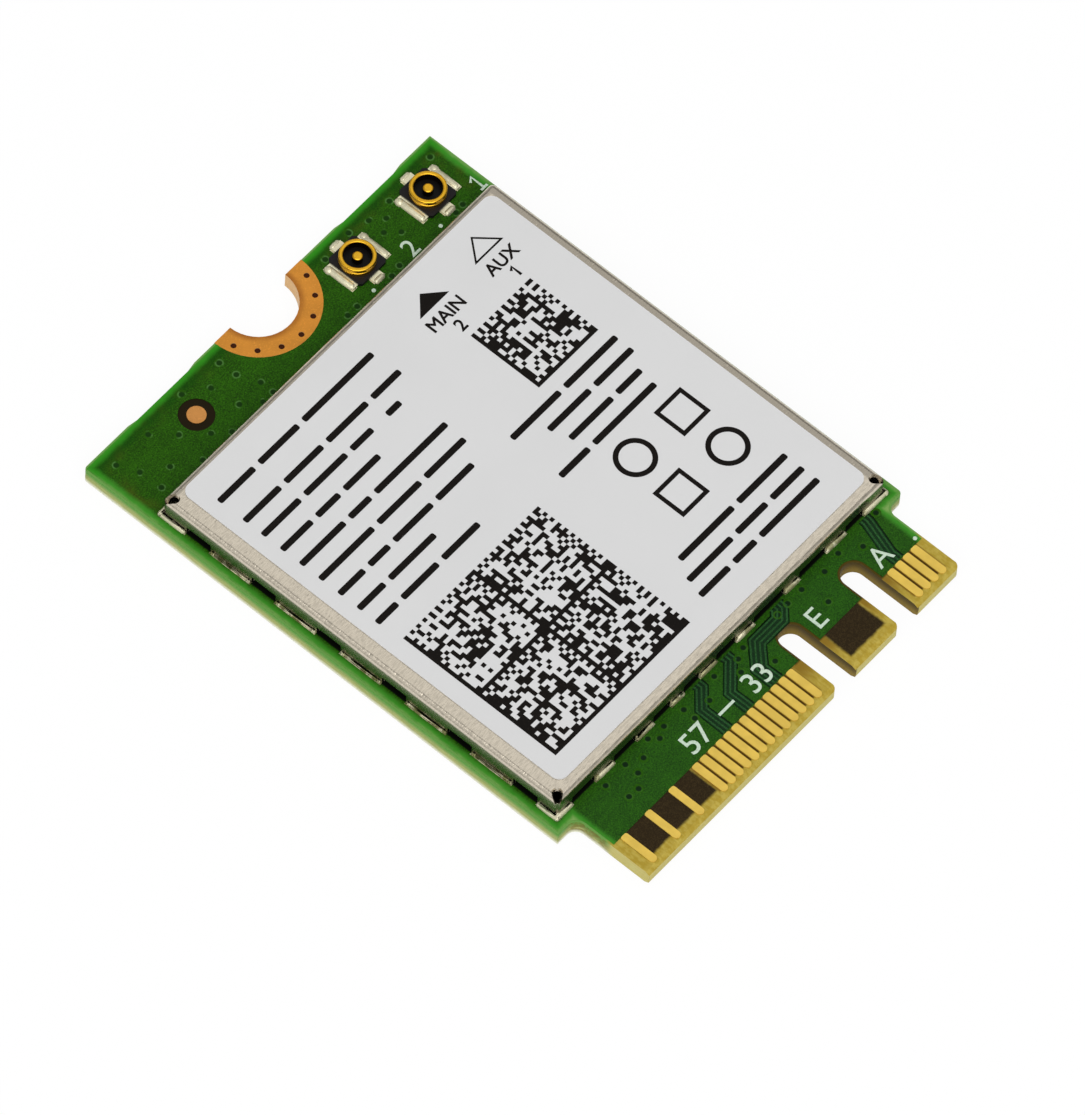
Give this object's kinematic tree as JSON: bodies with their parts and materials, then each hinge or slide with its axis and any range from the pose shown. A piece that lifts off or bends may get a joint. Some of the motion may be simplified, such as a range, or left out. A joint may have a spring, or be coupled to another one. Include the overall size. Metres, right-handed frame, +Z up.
{
  "type": "wireless network card",
  "caption": "Flat green wireless network card with a keyed gold edge plug, shielded circuit under a white label, half-round screw notch and push-on coaxial antenna ports.",
  "frame": {"origin": "underside of the card, in the middle of its 22 by 30 mm rectangle", "axes": "+X across the card towards contact 1, +Y along it from the edge plug to the screw notch, +Z up through the shielded face"},
  "size_m": [0.022, 0.03, 0.0021],
  "materials": {
    "laminate": "glass-fibre laminate, cut edges bare",
    "green_lacquer": "satin green lacquer",
    "gold_plate": "gold plated contacts",
    "bare_copper": "protected bare copper",
    "tin_plate": "tin-plated sheet with fine grain",
    "solder": "bright solder",
    "white_film": "matt white label film",
    "black_resin": "black moulded resin",
    "gold_shell": "polished gold plated shell",
    "chip_resin": "dark moulding compound",
    "soft_pad": "soft heat pad",
    "ceramic_body": "fired ceramic",
    "ferrite": "pressed ferrite"
  },
  "bodies": {
    "root": {"circuit_board": "laminate", "solder_mask_top": "green_lacquer", "solder_mask_bottom": "green_lacquer", "contact_fingers_top": "gold_plate", "contact_fingers_bottom": "gold_plate", "mounting_ground_ring": "bare_copper", "alignment_dot": "bare_copper", "shield_foot_pads": "solder", "shield_solder_banks": "solder", "antenna_solder_pads": "solder", "shield_can": "tin_plate", "label": "white_film", "antenna_main_base": "black_resin", "antenna_main_shell": "gold_shell", "antenna_main_pin": "gold_shell", "antenna_aux_base": "black_resin", "antenna_aux_shell": "gold_shell", "antenna_aux_pin": "gold_shell", "wireless_chip": "chip_resin", "chip_solder_balls": "solder", "thermal_pad": "soft_pad", "front_end_module_main": "chip_resin", "front_end_module_aux": "chip_resin", "settings_memory": "chip_resin", "voltage_regulator": "chip_resin", "reference_crystal": "tin_plate", "power_inductors": "ferrite", "band_filters": "ceramic_body", "capacitors": "ceramic_body", "resistors": "ferrite"}
  },
  "joints": []
}
